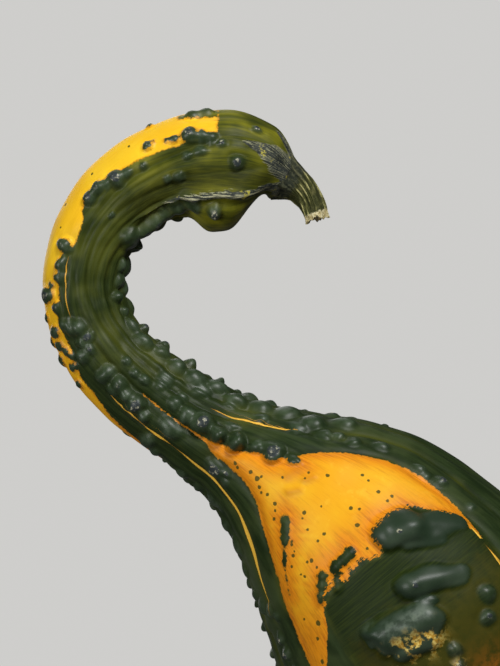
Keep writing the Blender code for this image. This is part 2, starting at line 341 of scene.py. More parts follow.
# Warts: (along, around, radius, height, corky top 0 to 1). In the yellow they keep a green skin of their own.
WARTS = [
    (17, 90, 2.5, 1.7, 0.9), (13, 43, 1.5, 0.9, 0.7), (22.5, 69, 1.6, 1.0, 0.8), (25.5, 64, 2.3, 1.2, 0.1),
    (28, 60, 2.2, 1.2, 0.1), (31.5, 57, 3.0, 1.9, 0.6), (36, 58, 1.9, 1.1, 0.2), (38, 56, 1.3, 0.8, 0.4),
    (43.5, 53, 2.0, 1.4, 0.5), (41.7, 50.5, 1.2, 0.8, 0.1), (33, 80, 1.7, 0.9, 0.4),
    (29, 77, 2.2, 0.8, 0.0), (37.5, 103, 2.0, 1.2, 0.3), (41.5, 101, 1.4, 0.8, 0.1),
    (47, 75, 1.4, 0.8, 0.5), (65, 97, 1.2, 0.6, 0.4), (30, 25, 2.4, 1.3, 0.4), (26.8, 21, 2.4, 1.2, 0.1),
    (41, 14, 1.7, 1.0, 0.2), (55.8, 67, 3.0, 2.0, 0.8), (52.5, 70, 2.0, 1.1, 0.1),
    (61.5, 59, 2.5, 1.6, 0.5), (65, 58, 2.4, 1.6, 0.6), (59, 64, 1.8, 1.0, 0.1), (80, 57, 2.6, 1.7, 0.4),
    (80.5, 64, 2.0, 1.2, 0.2), (85.5, 61, 2.2, 1.1, 0.1), (89, 62, 2.2, 1.0, 0.2),
    (93.5, 36, 3.3, 1.4, 0.7), (91, 47, 1.6, 0.8, 0.1), (97, 52, 2.0, 1.5, 0.6), (102, 55, 1.8, 1.0, 0.2),
    (99, 25, 2.0, 0.9, 0.3), (103, 36, 2.6, 1.1, 0.2), (106.5, 33, 2.2, 1.0, 0.3),
    (108.5, 41, 2.0, 0.9, 0.1), (105, 17, 2.0, 0.9, 0.3), (110.5, 46, 1.6, 0.9, 0.3),
    (113, 38, 2.0, 1.1, 0.4), (117.5, 27, 1.8, 1.0, 0.3), (110, 20, 2.2, 1.2, 0.2),
    (103.5, 66, 2.7, 1.5, 0.1), (104.5, 74, 2.8, 1.7, 0.2), (107.8, 80, 2.2, 1.2, 0.8),
    (112, 61, 2.5, 1.4, 0.4), (111.5, 75, 1.8, 1.0, 0.6), (108.5, 68, 1.8, 1.2, 0.1),
    (120.5, 66, 2.4, 1.5, 0.1), (120.5, 75, 2.4, 1.5, 0.2), (125.8, 74, 2.7, 2.0, 0.5),
    (125.5, 62, 2.0, 1.3, 0.2), (129.8, 70, 2.4, 2.0, 0.1), (134, 69, 3.0, 2.3, 0.9),
    (132.5, 60, 2.0, 1.2, 0.1), (138, 62, 2.3, 1.5, 0.1), (147.5, 70, 3.6, 1.1, 0.0),
    (131, 101, 1.8, 0.9, 0.3), (144, 101, 2.4, 1.0, 0.2), (149.5, 91, 2.4, 1.6, 0.1),
    (155, 98, 3.9, 2.8, 0.7), (149.5, 99, 2.4, 1.6, 0.2), (161.5, 95, 2.8, 3.7, 0.0),
    (168, 97, 3.0, 4.0, 0.0), (174.4, 102.5, 2.2, 1.7, 0.1), (179.6, 105, 3.6, 2.8, 0.8),
    (186.5, 107, 2.2, 1.4, 0.1), (190, 137, 2.5, 1.4, 0.4), (193.5, 140, 2.0, 1.2, 0.3),
    (198, 139, 2.2, 1.3, 0.2), (205, 144, 2.2, 1.2, 0.3), (217, 142, 2.0, 1.1, 0.4),
    (223.5, 143, 2.3, 1.3, 0.8), (219.5, 140.5, 1.6, 0.8, 0.3), (234, 142, 1.6, 0.8, 0.2),
    (166.5, 60, 3.3, 1.1, 1.0), (170.5, 65, 1.7, 0.7, 0.8), (171.5, 56, 1.6, 0.6, 0.1),
    (136.5, 117, 3.0, 1.0, 0.1), (122, 104, 1.6, 0.8, 0.2), (145, 114, 1.6, 0.7, 0.3),
    (164, 113, 2.2, 0.6, 0.2), (127, 99, 1.5, 0.7, 0.1), (143.5, 33, 3.0, 1.2, 0.2),
    (147, 24, 2.2, 1.1, 0.1), (171.5, 22, 2.3, 1.1, 0.4), (174.5, 26, 1.7, 0.8, 0.2),
    (158, 20, 2.2, 1.1, 0.1), (165, 17, 1.8, 1.0, 0.2), (180, 16, 2.0, 1.0, 0.2), (188, 18, 2.6, 1.2, 0.3),
    (196, 12, 2.2, 1.1, 0.2), (206, 14, 2.2, 1.2, 0.7), (211, 20, 2.6, 1.2, 0.3),
    (214.5, 28, 2.2, 1.1, 0.4), (218, 32, 1.6, 0.9, 0.2), (226, 26.5, 2.0, 1.3, 0.7),
    (232.5, 26.5, 2.2, 1.5, 0.9), (240, 28, 1.8, 0.9, 0.2), (247, 26, 2.2, 1.2, 0.4),
    (256, 24, 2.0, 1.0, 0.2), (25, 137, 2.3, 2.0, 0.7), (42, 141, 3.3, 2.0, 0.2),
    (48.5, 147, 3.2, 2.0, 0.2), (55, 149, 3.6, 2.6, 0.5), (61, 150, 3.6, 2.6, 0.6),
    (67.5, 138, 3.5, 1.8, 0.1), (68.5, 152, 2.8, 1.6, 0.2), (35.5, 133, 3.2, 1.6, 0.0),
    (265, 95, 2.3, 1.6, 0.2), (270.5, 93, 2.5, 1.9, 0.6), (256.5, 118, 2.8, 1.3, 0.1),
    (262.5, 113, 2.4, 1.8, 0.6), (243.5, 72, 2.8, 1.2, 0.1), (285, 72, 2.4, 1.4, 0.3),
    (225, 106, 1.9, 0.2, 0.6), (240.6, 96.5, 1.8, 0.3, 0.9), (247, 74, 1.3, 0.5, 0.3),
    (278, 128, 2.3, 1.3, 0.2), (270, 62, 2.2, 1.2, 0.3),
]

# The row of beads along the inside of the crook, and lower ones beside it.
for step in range(15):
    place = 81.0 + 8.0 * step
    angle = 152.0 + 5.0 * math.sin(2.3 * step)
    radius = 2.2 + 1.4 * float(smooth_step(place, 100.0, 132.0)) + 0.4 * math.sin(1.7 * step)
    WARTS.append((place, angle, radius, 1.7, 0.1))
for step in range(4):
    angle = 137.0 + 3.0 * math.sin(1.9 * step)
    radius = 2.5 + 0.4 * math.cos(2.1 * step)
    WARTS.append((149.0 + 11.0 * step, angle, radius, 1.0, 0.2))

# The far side's rows: (around, first, last, how many), a few of them missing.
FAR_ROWS = (
    (174.0, 44.0, 190.0, 13), (196.0, 60.0, 215.0, 15), (214.0, 34.0, 150.0, 12), (238.0, 30.0, 176.0, 20),
    (262.0, 170.0, 262.0, 9), (282.0, 50.0, 168.0, 16), (306.0, 24.0, 236.0, 26), (332.0, 128.0, 236.0, 12),
    (352.0, 152.0, 258.0, 12), (205.0, 222.0, 284.0, 6), (325.0, 205.0, 276.0, 7), (240.0, 205.0, 290.0, 8),
)
GROWN_SHARE = 0.85
random = np.random.default_rng(11)
for angle, first, last, count in FAR_ROWS:
    for place in np.linspace(first, last, count):
        if random.random() < GROWN_SHARE:
            WARTS.append(
                (
                    place + random.uniform(-1.5, 1.5),
                    angle + random.uniform(-5.0, 5.0),
                    random.uniform(1.5, 3.3),
                    random.uniform(0.9, 2.1),
                    random.choice((0.1, 0.2, 0.4, 0.8)),
                )
            )

# Each wart is a dome, a little oval and uneven, with a crease round its foot and a dent in a corky top. Where
# two meet, the fourth root of their summed fourth powers joins them without a step.
WART_FOOT = 1.22
WART_SKIN = 1.05
piled = np.zeros_like(along)
wart_mark = np.zeros_like(along)
wart_edge = np.full_like(along, FAR_OFF)
cork_mark = np.zeros_like(along)
wart_crease = np.zeros_like(along)
for number, (place, angle, radius, height, corky) in enumerate(WARTS):
    near = slice(*np.searchsorted(ring_places, (place - 5.0 * radius, place + 5.0 * radius)))
    turn = short_way(around[near] - math.radians(angle))
    oval = 0.12 * math.sin(5.0 * number)
    off_along = (along[near] - place) * stretch[near] * (1.0 + oval)
    off_across = turn * np.maximum(flesh[near], LEAST_FLESH) * (1.0 - oval)
    three_sided = 1.0 + 0.06 * np.sin(3.0 * np.arctan2(off_across, off_along) + 2.0 * number)
    distance = np.hypot(off_along, off_across) * three_sided
    dome = 1.2 * height * np.clip(1.0 - (distance / (WART_FOOT * radius)) ** 2, 0.0, None) ** 1.05
    crater = 0.12 * height * corky * np.exp(-((distance / (0.34 * radius)) ** 2))
    piled[near] += np.clip(dome - crater, 0.0, None) ** 4
    foot = np.exp(-(((distance - 1.3 * radius) / (0.4 * radius)) ** 2))
    wart_crease[near] = np.maximum(wart_crease[near], 0.14 * height * foot)
    wart_mark[near] = np.maximum(wart_mark[near], np.exp(-((distance / (WART_SKIN * radius)) ** 4)))
    wart_edge[near] = np.minimum(wart_edge[near], distance - WART_SKIN * radius)
    cork_mark[near] = np.maximum(cork_mark[near], corky * np.exp(-((distance / (0.62 * radius)) ** 3)))
grown = grown + piled**0.25

# Blisters: long smooth swellings low on the bulb, as strokes: (first, last, radius, height, taper 0 to 1).
BLISTERS = (
    ((223.0, 103.0), (226.0, 112.0), 5.3, 4.4, 0.0),
    ((226.5, 111.0), (235.0, 130.0), 5.0, 3.6, 0.75),
    ((229.5, 106.0), (234.5, 118.0), 2.8, 2.0, 0.5),
    ((239.5, 95.0), (246.5, 114.0), 4.7, 4.2, 0.75),
    ((248.5, 77.0), (251.5, 92.0), 6.4, 4.8, 0.15),
    ((256.0, 78.0), (257.5, 88.0), 3.4, 2.6, 0.1),
    ((245.5, 95.0), (248.0, 99.0), 2.2, 1.5, 0.2),
    ((245.0, 71.0), (248.0, 69.5), 2.3, 1.4, 0.2),
)
blister_piled = np.zeros_like(along)
blister_edge = np.full_like(along, FAR_OFF)
uneven = 0.6 * np.sin(along / 2.3 + 11.0 * around) + 0.5 * np.sin(along / 1.7 - 23.0 * around + 2.0)
for first, last, radius, height, taper in BLISTERS:
    distance, share = capsule_distance(first, last)
    size = radius * (1.0 - 0.5 * taper * share)
    distance = np.clip(distance + 0.8 * uneven * smooth_step(distance, 0.2 * size, size), 0.0, None)
    swell = height * (1.0 - taper * share) * np.clip(1.0 - (distance / (1.2 * size)) ** 2, 0.0, None) ** 0.95
    swell = swell * (1.0 + 0.04 * np.sin(share * 7.0 + 2.0 * height) + 0.04 * uneven)
    foot = np.exp(-(((distance - 1.25 * size) / 0.9) ** 2))
    wart_crease = np.maximum(wart_crease, 0.10 * foot)
    blister_piled += swell**3
    blister_edge = np.minimum(blister_edge, distance - 0.98 * size)
grown = grown + np.cbrt(blister_piled) - wart_crease

# Marks in the yellow: dark beaded dashes and orange pimples, each a stroke with a radius and a height.
DARK_DASHES = (
    ((196.3, 72.0), (200.5, 64.0), 1.6, 0.6),
    ((200.5, 64.0), (206.0, 55.5), 0.55, 0.2),
    ((206.0, 55.5), (215.0, 48.0), 0.3, 0.1),
    ((218.6, 69.5), (224.2, 62.0), 1.8, 1.2),
    ((219.3, 85.0), (219.3, 75.5), 1.8, 1.2),
    ((221.5, 75.0), (226.0, 71.0), 1.2, 0.6),
    ((25.8, 23.0), (32.0, 22.0), 2.3, 0.2),
)
PIMPLES = (
    ((191.0, 87.0), (193.5, 92.5), 1.2, 0.7),
    ((193.0, 99.0), (194.5, 103.0), 1.1, 0.8),
    ((188.0, 96.0), (190.0, 106.0), 1.5, 0.5),
)
dash_edge = np.full_like(along, FAR_OFF)
for first, last, radius, height in DARK_DASHES:
    distance, share = capsule_distance(first, last)
    beads = 1.0 + 0.14 * np.sin(share * 15.0 + radius)
    distance = np.clip(distance / beads + 0.25 * uneven, 0.0, None)
    grown = grown + 1.2 * height * beads * np.exp(-((distance / radius) ** 2.4))
    dash_edge = np.minimum(dash_edge, distance - radius)
pimple_mark = np.zeros_like(along)
for first, last, radius, height in PIMPLES:
    distance, _ = capsule_distance(first, last)
    pimple = np.exp(-((distance / radius) ** 2))
    grown = grown + height * pimple
    pimple_mark = np.maximum(pimple_mark, pimple)

# Corky tissue that runs from the stem over the head: short tongues all round, as (around, reach, spread), and
# one long ridge that ends at the throat, with a trough beside it.
TONGUES = (
    (68.0, 12.0, 10.0), (58.0, 5.0, 9.0), (84.0, 4.0, 10.0), (120.0, 9.0, 9.0), (26.0, 7.0, 9.0),
    (205.0, 9.0, 11.0), (255.0, 7.0, 13.0), (300.0, 10.0, 10.0), (340.0, 8.0, 11.0),
)
tongue_reach = 2.2 + 0.9 * np.sin(9.0 * around) + 0.6 * np.sin(23.0 * around + 1.0)
for angle, reach, spread in TONGUES:
    turn = short_way(around - math.radians(angle))
    tongue_reach = tongue_reach + reach * np.exp(-((turn / math.radians(spread)) ** 2))
cork = smooth_step(tongue_reach - along, -2.0, 2.0)
grown = grown + cork * (0.3 + 0.22 * np.sin(17.0 * around + 0.15 * along) + 0.1 * np.sin(38.0 * around))

LONG_RIDGE = ((3, 120), (12, 121.5), (22, 122), (31, 124), (40, 127), (52, 128), (60, 125))
RIDGE_ENDS = 5.0
ridge_offset = across(through(LONG_RIDGE, along))
ridge_size = through(((0, 1.7), (20, 1.1), (38, 0.9), (48, 0.5), (60, 0.2)), along)
long_ridge = np.exp(-((ridge_offset / ridge_size) ** 2)) * line_fade(LONG_RIDGE, RIDGE_ENDS)
trough = np.exp(-(((ridge_offset - 2.6) / 1.2) ** 2)) * line_fade(LONG_RIDGE, FURROW_ENDS)
grown = grown + 1.15 * long_ridge - 1.0 * trough
cork = np.maximum(cork, long_ridge * (1.0 - smooth_step(along, 34.0, 58.0) * 0.8))

# The yellow: (upper edge, lower edge) of each band, as stations of (along, around), with yellow between them.
# The first two are on the near side. Those of the far side have rounded ends.
BANDS = [
    (
        ((23.5, 16), (30, -12), (60, -34), (100, -30), (130, -12), (150, 6)),
        (
            (23.5, 56.5), (29, 58.5), (33, 65), (38, 67.5), (45, 66.5), (51, 64), (56, 61), (60, 56),
            (66, 55.5), (69, 60), (71, 69), (75, 72), (79, 71), (83, 59), (95, 60), (98, 51), (108, 51),
            (113, 45), (117, 37), (122, 36.5), (128, 31), (134, 26.5), (140, 23), (150, 14),
        ),
    ),
    (
        (
            (133, 84.2), (150, 81.2), (159, 79.5), (162, 75), (165, 72), (175, 71.3), (180, 68), (185, 64),
            (190, 57), (195, 53), (200, 49.5), (207, 46), (215, 42), (225, 39), (240, 37.6), (262, 38),
            (280, 48),
        ),
        (
            (133, 85.4), (150, 83.2), (160, 84), (165, 88), (170, 91), (175, 98), (180, 101), (185, 107),
            (190, 118), (195, 125), (200, 130.5), (205, 134), (210, 137), (220, 138.5), (233, 136),
            (246, 131), (280, 126),
        ),
    ),
    (
        ((140, 262), (160, 256), (180, 250), (200, 240), (220, 234), (244, 236), (256, 250)),
        ((140, 263), (160, 266), (180, 276), (200, 290), (220, 298), (244, 297), (256, 280)),
    ),
    (
        ((40, 292), (60, 288), (85, 287), (110, 300), (124, 306)),
        ((40, 293), (60, 296), (85, 299), (110, 306), (124, 307)),
    ),
]
NEAR_BANDS = 2
DRAWN_IN = 1.5
yellow = np.full_like(along, -FAR_OFF)
for number, (upper, lower) in enumerate(BANDS):
    from_upper = short_way(around - np.radians(through(upper, along)))
    from_lower = short_way(np.radians(through(lower, along)) - around)
    inside = np.minimum(from_upper, from_lower) * np.maximum(flesh, LEAST_FLESH)
    ends = np.minimum(along - upper[0][0], upper[-1][0] - along)
    depth_in = np.minimum(inside, ends)
    if number >= NEAR_BANDS:
        rounded = inside + ends - np.hypot(inside, ends)
        depth_in = np.where(depth_in > 0.0, rounded, depth_in) - DRAWN_IN
    yellow = np.maximum(yellow, depth_in)

# The dark patch low on the bulb that the yellow runs round: where it starts, as (around, along).
PATCH_START = (
    (34, 262), (44, 250), (52, 240), (58, 231), (62, 226), (70, 224), (88, 224.5), (94, 226), (99, 222),
    (105, 219.5), (112, 220), (118, 222), (124, 226), (130, 233), (134, 248), (150, 262),
)
patch_start = through(PATCH_START, np.degrees(around))
yellow = np.minimum(yellow, patch_start - along + 0.9 * np.sin(20.0 * around) + 0.5 * np.sin(53.0 * around))
yellow = np.minimum(yellow, np.minimum(wart_edge + 0.6, dash_edge))
yellow = np.minimum(yellow, blister_edge)

# Thin yellow lines along furrows: (stations of along and around, stations of along and half width).
THIN_LINES = (
    (((82, 67.5), (90, 68.7), (101, 68.2)), ((82, 0.02), (88, 0.24), (97, 0.2), (102, 0.02))),
    (
        (
            (126, 53.5), (133, 52), (140, 51), (147, 51.5), (155, 50), (163, 47.5), (170, 46), (180, 44.5),
            (186, 41.5), (192, 38.5), (198, 35), (204, 31.5), (210, 29.5), (217, 28.5),
        ),
        (
            (126, 0.1), (132, 0.45), (139, 0.1), (145, 0.6), (151, 0.1), (158, 0.5), (165, 0.65), (175, 0.55),
            (184, 0.75), (190, 1.15), (196, 1.05), (203, 0.6), (210, 0.25), (217, 0.02),
        ),
    ),
    (
        ((154, 121.5), (162, 122.5), (167, 126), (172, 127.5), (177, 129.5), (183, 132.5)),
        ((154, 0.02), (160, 0.25), (168, 0.38), (178, 0.4), (183, 0.05)),
    ),
    (((236, 132.5), (246, 131), (256, 130)), ((236, 0.1), (241, 0.5), (246, 0.25), (251, 0.4), (256, 0.1))),
    (((60, 216), (90, 214), (118, 219)), ((60, 0.1), (75, 0.6), (100, 0.7), (118, 0.1))),
    (((150, 228), (180, 224), (214, 216)), ((150, 0.1), (170, 0.9), (195, 1.1), (214, 0.1))),
    (((150, 316), (185, 318), (220, 322)), ((150, 0.1), (170, 0.8), (200, 1.3), (220, 0.1))),
)
LINE_REACH = 2.4
thin_offset = np.full_like(along, FAR_OFF)
thin_width = np.zeros_like(along)
for stations, widths in THIN_LINES:
    offset = across(through(stations, along))
    width = through(widths, along) * ((along > stations[0][0]) & (along < stations[-1][0]))
    width = np.where(np.abs(offset) < LINE_REACH, width, 0.0)
    closer = np.abs(offset) < np.abs(thin_offset)
    thin_offset = np.where(closer, offset, thin_offset)
    thin_width = np.where(closer, width, thin_width)

# Tones of the green: olive at the head and in the dark patch, a painted shade beside the throat's ridge,
# russet low on the bulb. The patch's rim is where its green runs out into the yellow in short fibres.
olive = through(((0, 1.0), (34, 0.9), (52, 0.6), (75, 0.34), (110, 0.2), (165, 0.1), (215, 0.06)), along)
patch_first = smooth_step(np.degrees(around), 56.0, 62.0)
patch_last = 1.0 - smooth_step(np.degrees(around), 133.0, 138.0)
in_patch = smooth_step(along - patch_start, 0.0, 2.0) * patch_first * patch_last
patch_rim = np.exp(-(((along - patch_start) / 3.5) ** 2)) * patch_first * patch_last
olive = np.maximum(olive, in_patch * through(((224, 0.45), (240, 0.6), (255, 0.85), (275, 0.95)), along))
olive = np.maximum(olive, smooth_step(along, 262.0, 290.0) * 0.8)
# Painted shade: a band of darker skin beside the throat's long ridge, on the underside of the head.
painted_shade_by_ridge = np.exp(-(((ridge_offset + 4.5) / 4.0) ** 2)) * line_fade(LONG_RIDGE, RIDGE_ENDS)
blister_mark = 1.0 - smooth_step(blister_edge, -0.8, 0.4)
olive = olive * (1.0 - 0.75 * wart_mark) * (1.0 - 0.85 * blister_mark)
russet = np.exp(-((spot_distance(282.0, 104.0) / 9.0) ** 2))
russet = russet + 0.8 * np.exp(-((spot_distance(292.0, 250.0) / 12.0) ** 2))
speckled = np.exp(-((capsule_distance((255.5, 78.0), (257.5, 89.0))[0] / 4.2) ** 2))
speckled = np.maximum(speckled, np.exp(-((spot_distance(271.0, 93.0) / 2.4) ** 2)))
# Painted highlight: a pale grey-green cap along the top of the biggest blister.
painted_blister_highlight = np.exp(-((capsule_distance((247.5, 79.0), (249.0, 93.0))[0] / 2.8) ** 2))

# The skin's grid is laid on the core, from the seat under the stem, and set on its flat spot.
stem_low, stem_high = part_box("stem")
tilt = math.radians(SEAT_HEADING)
seat_x = stem_low.x / MM + FOOT_RADIUS * math.sin(tilt) + FOOT_GAP * math.cos(tilt)
seat_z = stem_high.z / MM + FOOT_RADIUS * math.cos(tilt) + FOOT_GAP * math.sin(tilt)
seat_ease = smooth_step(along, 0.0, 7.0)
blossom_ease = 1.0 - smooth_step(along, FRUIT_LENGTH - 4.0, FRUIT_LENGTH)
skin_radius = flesh + grown * seat_ease * blossom_ease
skin, _ = lay_on_core((seat_x, seat_z), HEADINGS, along, around, skin_radius)
skin[..., 2] = 0.5 * (skin[..., 2] + np.sqrt(skin[..., 2] ** 2 + SPOT_SOFTNESS**2)) - SPOT_PRESS
end_x, end_z, _ = core_at(HEADINGS, FRUIT_LENGTH)
seat_pole = np.array((seat_x, 0.0, seat_z))
blossom_heading = math.radians(HEADINGS[-1][1])
blossom_way = np.array((math.cos(blossom_heading), 0.0, math.sin(blossom_heading)))
blossom_pole = np.array((seat_x + end_x, 0.0, seat_z + end_z)) - BLOSSOM_DIMPLE * blossom_way


def on_points(points, values, at_first, at_last):
    """A grid's values in the order of a piece's points, with a value for each pole."""
    ring_of, column_of = points
    spread = values[np.clip(ring_of - 1, 0, len(values) - 1), column_of]
    spread[ring_of == 0] = at_first
    spread[ring_of == len(values) + 1] = at_last
    return spread


def wrap(name, grid, first_pole, last_pole):
    """A closed piece: a ball whose rings and columns are moved to the grid's, so that its poles stay closed.
    Also gives the ring and column of each of its points."""
    rings, columns = grid.shape[:2]
    bpy.ops.object.select_all(action="DESELECT")
    bpy.ops.mesh.primitive_uv_sphere_add(segments=columns, ring_count=rings + 1, radius=1.0)
    piece = bpy.context.object
    piece.name = name
    ball = np.empty(len(piece.data.vertices) * 3)
    piece.data.vertices.foreach_get("co", ball)
    x, y, z = ball.reshape(-1, 3).T
    ring_of = np.rint(np.arctan2(np.hypot(x, y), z) / math.pi * (rings + 1)).astype(int)
    column_of = np.rint(np.arctan2(y, x) / WHOLE_TURN * columns).astype(int) % columns
    points = (ring_of, column_of)
    piece.data.vertices.foreach_set("co", (on_points(points, grid, first_pole, last_pole) * MM).ravel())
    piece.data.update()
    bpy.ops.object.shade_smooth()
    return piece, points


def store(piece, points, name, parts, at_first=(0, 0, 0), at_last=(0, 0, 0)):
    """Keeps three of the grid's values as a vector for each point, for the piece's material to read."""
    layer = piece.data.attributes.new(name, "FLOAT_VECTOR", "POINT")
    values = on_points(points, np.stack(parts, axis=-1), at_first, at_last)
    layer.data.foreach_set("vector", values.astype(np.float32).ravel())


fruit, fruit_points = wrap("fruit_skin", skin, seat_pole, blossom_pole)
store(fruit, fruit_points, "yellow_paint", (yellow, thin_offset, thin_width), (-9, 30, 0), (-9, 30, 0))
store(fruit, fruit_points, "skin_growth", (wart_mark, cork_mark, furrow_mark))
store(fruit, fruit_points, "skin_tone", (olive, cork, russet), (1, 1, 0), (0.8, 0.6, 0))
store(fruit, fruit_points, "skin_marks", (blister_mark, speckled, painted_blister_highlight))
store(fruit, fruit_points, "pimples", (pimple_mark, in_patch, patch_rim))
store(fruit, fruit_points, "throat", (painted_shade_by_ridge, long_ridge, np.zeros_like(along)))
grain = (along, GRAIN_ROUND * np.cos(around), GRAIN_ROUND * np.sin(around))
store(fruit, fruit_points, "grain", grain, (0, 0, 0), (FRUIT_LENGTH, 0, 0))


def add_node(tree, kind, inputs=(), **settings):
    """A node with its settings, and its inputs linked or set."""
    made = tree.nodes.new(kind)
    for name, value in settings.items():
        setattr(made, name, value)
    for name, value in dict(inputs).items():
        if isinstance(value, bpy.types.NodeSocket):
            tree.links.new(value, made.inputs[name])
        else:
            made.inputs[name].default_value = value
    return made


def calc(operation, first, second=0.5):
    """One sum on two values, in the tree that the first one comes from."""
    made = add_node(first.id_data, "ShaderNodeMath", {0: first, 1: second}, operation=operation)
    return made.outputs[0]


def plus(first, second):
    return calc("ADD", first, second)


def minus(first, second):
    return calc("SUBTRACT", first, second)


def times(first, second):
    return calc("MULTIPLY", first, second)


def sway(noise, width):
    """Noise as a rise and fall about nothing, this wide from its lowest to its highest."""
    return times(minus(noise, 0.5), width)


def ease(value, low, high):
    """0 below low, 1 above high, smooth between. Low may be the larger one, for a mark that fades upwards."""
    made = add_node(value.id_data, "ShaderNodeMapRange", {"Value": value}, interpolation_type="SMOOTHSTEP")
    upside_down = low > high
    made.inputs["From Min"].default_value = min(low, high)
    made.inputs["From Max"].default_value = max(low, high)
    made.inputs["To Min"].default_value = float(upside_down)
    made.inputs["To Max"].default_value = 1.0 - float(upside_down)
    return made.outputs["Result"]


def tint(amount, below, above):
    """The colour below, covered by the colour above as far as amount says."""
    made = add_node(amount.id_data, "ShaderNodeMix", data_type="RGBA")
    for socket, value in zip((made.inputs[0], made.inputs[6], made.inputs[7]), (amount, below, above)):
        if isinstance(value, bpy.types.NodeSocket):
            amount.id_data.links.new(value, socket)
        elif isinstance(value, tuple):
            socket.default_value = (*value, 1.0)
        else:
            socket.default_value = value
    return made.outputs[2]


def mottle(place, scale, detail, roughness, squeeze=(1.0, 1.0, 1.0)):
    """Noise, 0 to 1, over a place, finer along the axes that are squeezed more."""
    mapping = add_node(place.id_data, "ShaderNodeMapping", {"Vector": place, "Scale": squeeze})
    kind = {"Vector": mapping.outputs[0], "Scale": scale, "Detail": detail, "Roughness": roughness}
    return add_node(place.id_data, "ShaderNodeTexNoise", kind).outputs["Fac"]


def read(tree, name):
    """A stored vector and its three parts."""
    vector = add_node(tree, "ShaderNodeAttribute", attribute_name=name).outputs["Vector"]
    parts = add_node(tree, "ShaderNodeSeparateXYZ", {0: vector}).outputs
    return vector, parts[0], parts[1], parts[2]


# Dark dots in the yellow: along, around and radius.
DOTS = (
    (177, 82, 0.7), (180, 80, 0.9), (182, 76, 0.7), (181, 84, 0.5), (186, 76, 0.6), (190, 75, 0.7),
    (193, 67, 0.6), (191, 72, 0.5), (199, 84, 0.7), (202, 68, 0.5), (203, 66, 0.6), (206, 63, 0.7),
    (205, 65, 0.4), (204, 78, 0.5), (200, 80, 0.4), (209, 78, 0.5), (211, 68, 0.5), (212, 70, 0.7),
    (214, 62, 0.5), (213, 61, 0.4), (215, 70, 0.5), (217, 68, 0.5), (209, 83, 0.6), (215, 97, 0.8),
    (210, 101, 0.7), (212, 103, 0.5), (193, 100, 0.5), (193, 104, 0.5), (198, 109, 0.6), (206, 120, 0.6),
    (208, 118, 0.5), (213, 116, 0.7), (216, 115, 0.5), (216, 118, 0.6), (230, 54, 0.9), (171, 79, 0.7),
    (173, 77, 0.6), (184, 74, 0.5), (197, 66, 0.6), (208, 59, 0.5), (222, 92, 0.5), (219, 110, 0.5),
    (202, 92, 0.4), (235, 50, 0.7), (226, 48, 0.5), (243, 46, 0.8), (187, 92, 0.4), (60, 30, 0.5),
    (48, 36, 0.5), (70, 22, 0.6), (76, 40, 0.4),
)
rind = bpy.data.materials.new("gourd_rind")
rind.use_nodes = True
tree = rind.node_tree
shader = tree.nodes["Principled BSDF"]
_, yellow_in, line_offset, line_width = read(tree, "yellow_paint")
_, wart_in, cork_top_in, furrow_in = read(tree, "skin_growth")
_, olive_in, cork_in, russet_in = read(tree, "skin_tone")
_, blister_in, speckle_in, painted_blister_highlight_in = read(tree, "skin_marks")
_, pimple_in, patch_in, rim_in = read(tree, "pimples")
_, painted_shade_by_ridge_in, crest_in, _ = read(tree, "throat")
grain_place, along_in, _, _ = read(tree, "grain")
object_place = add_node(tree, "ShaderNodeTexCoord").outputs["Object"]

# Noises: three over the piece in all directions, and three that follow the way the skin grew.
fine = mottle(object_place, 900.0, 4.0, 0.6)
middling = mottle(object_place, 260.0, 4.0, 0.6)
broad = mottle(object_place, 45.0, 3.0, 0.55)
streaks = mottle(grain_place, 1.0, 4.0, 0.6, (0.06, 0.9, 0.9))
fine_streaks = mottle(grain_place, 1.0, 3.0, 0.65, (0.16, 3.2, 3.2))
cross_fibres = mottle(grain_place, 1.0, 4.0, 0.65, (2.6, 0.22, 0.22))

# Green: deep on the bulb, olive at the head, greyer on the crests.
deep = tint(ease(streaks, 0.35, 0.65), (0.008, 0.018, 0.004), (0.020, 0.036, 0.011))
deep = tint(ease(broad, 0.45, 0.75), deep, (0.030, 0.050, 0.021))
olive_low = tint(ease(fine_streaks, 0.3, 0.7), (0.042, 0.050, 0.002), (0.092, 0.095, 0.005))
olive_low = tint(ease(broad, 0.42, 0.66), olive_low, (0.205, 0.195, 0.010))
olive_amount = ease(plus(streaks, times(broad, 0.6)), 0.5, 0.95)
olive_amount = plus(times(olive_amount, 0.75), 0.25)
green = tint(times(olive_in, olive_amount), deep, olive_low)
patch_green = tint(ease(cross_fibres, 0.32, 0.70), (0.005, 0.013, 0.001), (0.021, 0.033, 0.003))
patch_olive = ease(plus(olive_in, times(middling, 0.4)), 0.75, 1.2)
patch_green = tint(patch_olive, patch_green, (0.046, 0.043, 0.003))
green = tint(patch_in, green, patch_green)
# In the furrows: a painted shade that darkens them halfway to near black, with their own olive over it where
# the broad noise is high.
furrow_olive = times(furrow_in, ease(broad, 0.40, 0.62))
green = tint(times(furrow_in, 0.5), green, (0.010, 0.018, 0.003))
green = tint(times(furrow_olive, 0.8), green, (0.060, 0.070, 0.007))
# Painted shade beside the throat's ridge: a darker olive over the green.
painted_shade_olive = tint(ease(fine_streaks, 0.35, 0.70), (0.012, 0.015, 0.001), (0.040, 0.044, 0.003))
green = tint(times(painted_shade_by_ridge_in, 0.85), green, painted_shade_olive)
wart_green = tint(ease(middling, 0.4, 0.7), (0.020, 0.036, 0.014), (0.054, 0.080, 0.045))
green = tint(times(wart_in, 0.8), green, wart_green)
blister_green = tint(ease(broad, 0.4, 0.7), (0.015, 0.030, 0.015), (0.040, 0.060, 0.036))
green = tint(times(blister_in, 0.9), green, blister_green)
russet_amount = times(russet_in, ease(middling, 0.3, 0.6))
green = tint(russet_amount, green, (0.36, 0.12, 0.010))
# Painted highlight on the biggest blister's top, in pale grey-green.
green = tint(times(painted_blister_highlight_in, ease(middling, 0.35, 0.6)), green, (0.085, 0.115, 0.082))
pale_specks = ease(fine, 0.71, 0.78)
green = tint(times(pale_specks, 0.3), green, (0.15, 0.17, 0.09))
